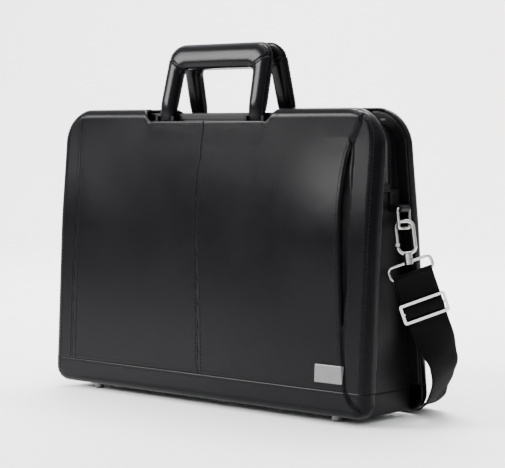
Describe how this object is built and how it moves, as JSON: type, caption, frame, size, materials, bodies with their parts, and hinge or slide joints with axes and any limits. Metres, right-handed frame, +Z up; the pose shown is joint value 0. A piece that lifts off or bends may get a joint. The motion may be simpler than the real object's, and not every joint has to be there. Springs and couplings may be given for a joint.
{
  "type": "leather briefcase",
  "caption": "Structured black leather briefcase with twin folding carry handles, a zipped top, a side-entry front pocket and a clip-on webbing shoulder strap.",
  "frame": {"origin": "centre of the overall footprint, on the plane the feet stand on", "axes": "+X along the width (to the wearer's strap end seen at the right of the front), -Y out of the front, +Z up"},
  "size_m": [0.4787, 0.1422, 0.3576],
  "materials": {
    "leather": "semi-gloss fine grain black",
    "webbing": "matte black ribbed webbing",
    "zip_tape": "matte black woven tape",
    "zip_metal": "dark nickel",
    "nickel": "satin nickel",
    "bracket_steel": "black coated",
    "core_board": "matte",
    "lining": "woven grey lining"
  },
  "bodies": {
    "root": {"base_board": "core_board", "bottom_panel": "leather", "feet": "nickel", "foot_washers": "nickel", "front_base_band": "leather", "front_handle_brackets": "bracket_steel", "front_notch_band": "leather", "front_panel_left": "leather", "front_panel_right": "leather", "front_pocket_back": "lining", "front_seam_flange_left": "leather", "front_seam_flange_right": "leather", "front_side_band_left": "leather", "front_side_band_right": "leather", "gusset_left": "leather", "gusset_right": "leather", "handle_pins": "nickel", "laptop_divider": "lining", "laptop_strap": "webbing", "name_plate": "nickel", "plate_prongs": "nickel", "rear_base_band": "leather", "rear_handle_brackets": "bracket_steel", "rear_lining": "lining", "rear_notch_band": "leather", "rear_pocket_panel": "leather", "rear_seam_flange_left": "leather", "rear_seam_flange_right": "leather", "rear_side_band_left": "leather", "rear_side_band_right": "leather", "rear_wall": "leather", "ring_tab_left": "leather", "ring_tab_right": "leather", "strap_run": "webbing", "tab_rivets": "nickel"},
    "front_handle": {"front_handle": "leather", "front_handle_core": "core_board"},
    "rear_handle": {"rear_handle": "leather", "rear_handle_core": "core_board"},
    "front_zip_strip": {"front_zip_strip": "leather", "front_zip_tape": "zip_tape", "front_zip_teeth": "zip_metal"},
    "rear_zip_strip": {"rear_zip_strip": "leather", "rear_zip_tape": "zip_tape", "rear_zip_teeth": "zip_metal"},
    "zip_slider": {"zip_slider": "nickel"},
    "zip_pull": {"zip_pull": "nickel"},
    "strap_slider": {"strap_slider": "nickel", "strap_wrap": "webbing"},
    "d_ring_right": {"d_ring_right": "nickel"},
    "strap_drop_right": {"strap_drop_right": "webbing", "strap_loop_right": "nickel"},
    "hook_right": {"hook_right": "nickel"},
    "hook_gate_right": {"hook_gate_right": "nickel"},
    "d_ring_left": {"d_ring_left": "nickel"},
    "strap_drop_left": {"strap_drop_left": "webbing", "strap_loop_left": "nickel"},
    "hook_left": {"hook_left": "nickel"},
    "hook_gate_left": {"hook_gate_left": "nickel"}
  },
  "joints": [
    {"name": "front_handle_fold", "type": "hinge", "parent": "root", "child": "front_handle", "pos_m": [0, -0.0509, 0.284], "axis": [1, 0, 0], "range_deg": [0, 83]},
    {"name": "rear_handle_fold", "type": "hinge", "parent": "root", "child": "rear_handle", "pos_m": [0, -0.0017, 0.284], "axis": [-1, 0, 0], "range_deg": [0, 83]},
    {"name": "front_zip_strip_open", "type": "hinge", "parent": "root", "child": "front_zip_strip", "pos_m": [0, -0.04245, 0.27775], "axis": [1, 0, 0], "range_deg": [0, 60]},
    {"name": "rear_zip_strip_open", "type": "hinge", "parent": "root", "child": "rear_zip_strip", "pos_m": [0, -0.00946, 0.27775], "axis": [-1, 0, 0], "range_deg": [0, 60]},
    {"name": "zip_slider_travel", "type": "slide", "parent": "root", "child": "zip_slider", "axis": [-1, 0, 0], "range_m": [0, 0.344]},
    {"name": "zip_pull_flip", "type": "hinge", "parent": "zip_slider", "child": "zip_pull", "pos_m": [0.172, -0.02595, 0.2824], "axis": [0, -1, 0], "range_deg": [0, 150]},
    {"name": "strap_drop_right_swing", "type": "hinge", "parent": "root", "child": "strap_drop_right", "pos_m": [0.2288, 0.0249, 0.0542], "axis": [0, 1, 0], "range_deg": [0, 3]},
    {"name": "d_ring_right_swing", "type": "hinge", "parent": "root", "child": "d_ring_right", "pos_m": [0.208, -0.0126, 0.2], "axis": [0, -1, 0], "range_deg": [0, 22]},
    {"name": "hook_right_swivel", "type": "hinge", "parent": "strap_drop_right", "child": "hook_right", "pos_m": [0.21014, -0.01192, 0.17311], "axis": [-0.1002, -0.0801, 0.9917], "range_deg": [-38, 6]},
    {"name": "hook_gate_right_open", "type": "hinge", "parent": "hook_right", "child": "hook_gate_right", "pos_m": [0.20484, -0.01674, 0.16614], "axis": [-0.667, 0.745, -0.0072], "range_deg": [0, 20], "stiffness_Nm_per_rad": 0.01, "springref_deg": -17.19},
    {"name": "strap_drop_left_swing", "type": "hinge", "parent": "root", "child": "strap_drop_left", "pos_m": [-0.2288, 0.0249, 0.0542], "axis": [0, -1, 0], "range_deg": [0, 3]},
    {"name": "d_ring_left_swing", "type": "hinge", "parent": "root", "child": "d_ring_left", "pos_m": [-0.208, -0.0126, 0.2], "axis": [0, 1, 0], "range_deg": [0, 22]},
    {"name": "hook_left_swivel", "type": "hinge", "parent": "strap_drop_left", "child": "hook_left", "pos_m": [-0.21014, -0.01192, 0.17311], "axis": [-0.1002, 0.0801, -0.9917], "range_deg": [-38, 6]},
    {"name": "hook_gate_left_open", "type": "hinge", "parent": "hook_left", "child": "hook_gate_left", "pos_m": [-0.20484, -0.01674, 0.16614], "axis": [-0.667, -0.745, 0.0072], "range_deg": [0, 20], "stiffness_Nm_per_rad": 0.01, "springref_deg": -17.19},
    {"name": "strap_slider_travel", "type": "slide", "parent": "strap_drop_right", "child": "strap_slider", "axis": [0.141, 0.3443, -0.9282], "range_m": [-0.009, 0.009]}
  ],
  "couplings": [
    {"joint": "d_ring_right_swing", "follows": "strap_drop_right_swing", "ratio": 7.2},
    {"joint": "d_ring_left_swing", "follows": "strap_drop_left_swing", "ratio": 7.2}
  ]
}
